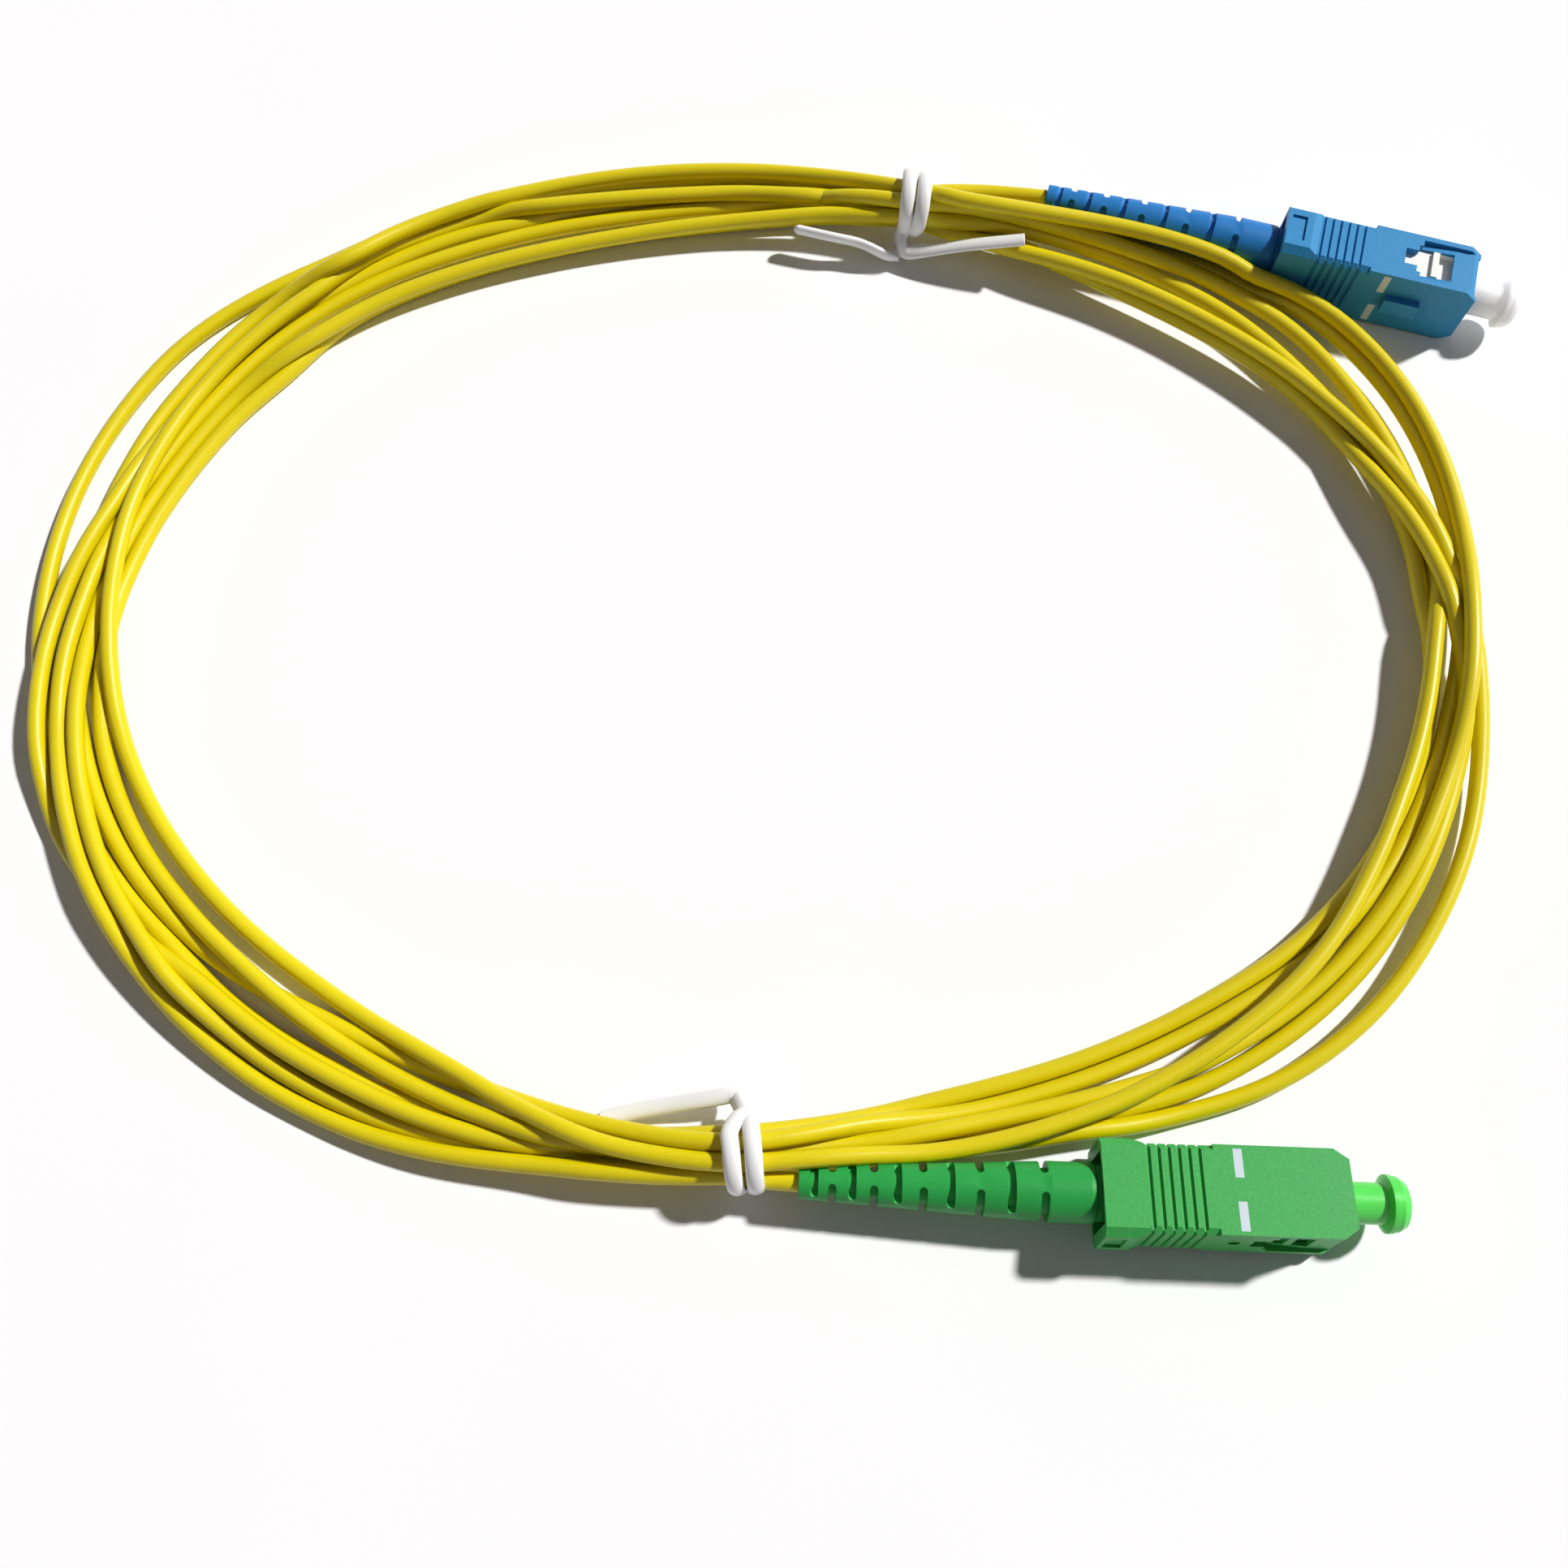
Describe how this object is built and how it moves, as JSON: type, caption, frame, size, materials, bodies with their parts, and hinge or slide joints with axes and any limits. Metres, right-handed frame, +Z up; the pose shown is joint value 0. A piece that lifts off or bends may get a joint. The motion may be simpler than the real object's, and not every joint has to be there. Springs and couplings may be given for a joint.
{
  "type": "fiber optic patch cord",
  "caption": "Simplex SC to SC fibre optic patch cord, coiled in an oval and tied, with capped push-pull plugs",
  "frame": {"origin": "on the surface that the coil lies on, under the middle of the whole part", "axes": "+X along the oval's long side, towards the end where both plugs point; +Y from the green plug's side to the blue plug's side; +Z up"},
  "size_m": [0.1858, 0.1408, 0.0107],
  "materials": {
    "jacket": "satin yellow jacket",
    "tie_plastic": "glossy white",
    "blue_plastic": "satin blue moulding",
    "green_plastic": "satin green moulding",
    "blue_rubber": "soft blue boot",
    "green_rubber": "soft green boot",
    "white_plastic": "white moulding",
    "cap_plastic": "milky translucent",
    "green_cap_plastic": "translucent",
    "ceramic": "polished white ceramic",
    "plated_brass": "nickel plated",
    "spring_steel": "drawn wire",
    "crimp_metal": "satin",
    "aramid": "fibrous",
    "buffer": "satin"
  },
  "bodies": {
    "cord": {"coil": "jacket", "top_tie": "tie_plastic", "bottom_tie": "tie_plastic", "blue_cord_end": "jacket", "blue_crimp_sleeve": "crimp_metal", "blue_aramid_yarn": "aramid", "blue_rear_body": "plated_brass", "blue_spring": "spring_steel", "blue_plug_frame": "white_plastic", "blue_boot": "blue_rubber", "green_cord_end": "jacket", "green_crimp_sleeve": "crimp_metal", "green_aramid_yarn": "aramid", "green_rear_body": "plated_brass", "green_spring": "spring_steel", "green_plug_frame": "green_plastic", "green_boot": "green_rubber"},
    "blue_outer_grip": {"blue_grip": "blue_plastic"},
    "blue_ferrule_set": {"blue_ferrule": "ceramic", "blue_ferrule_flange": "plated_brass", "blue_buffered_fibre": "buffer"},
    "blue_cap": {"blue_dust_cap": "cap_plastic"},
    "green_outer_grip": {"green_grip": "green_plastic"},
    "green_ferrule_set": {"green_ferrule": "ceramic", "green_ferrule_flange": "plated_brass", "green_buffered_fibre": "buffer"},
    "green_cap": {"green_dust_cap": "green_cap_plastic"}
  },
  "joints": [
    {"name": "blue_grip_slide", "type": "slide", "parent": "cord", "child": "blue_outer_grip", "axis": [-0.9634, 0.2672, 0.0209], "range_m": [0, 0.0015]},
    {"name": "blue_ferrule_float", "type": "slide", "parent": "cord", "child": "blue_ferrule_set", "axis": [-0.9634, 0.2672, 0.0209], "range_m": [0, 0.001], "stiffness_N_per_m": 2500, "springref_m": -0.0002, "deforming": ["blue_spring"]},
    {"name": "blue_cap_pull", "type": "slide", "parent": "blue_ferrule_set", "child": "blue_cap", "axis": [0.9634, -0.2672, -0.0209], "range_m": [0, 0.012]},
    {"name": "green_grip_slide", "type": "slide", "parent": "cord", "child": "green_outer_grip", "axis": [-0.9994, 0.0358, 0], "range_m": [0, 0.0015]},
    {"name": "green_ferrule_float", "type": "slide", "parent": "cord", "child": "green_ferrule_set", "axis": [-0.9994, 0.0358, 0], "range_m": [0, 0.001], "stiffness_N_per_m": 2500, "springref_m": -0.0002, "deforming": ["green_spring"]},
    {"name": "green_cap_pull", "type": "slide", "parent": "green_ferrule_set", "child": "green_cap", "axis": [0.9994, -0.0358, 0], "range_m": [0, 0.012]}
  ]
}
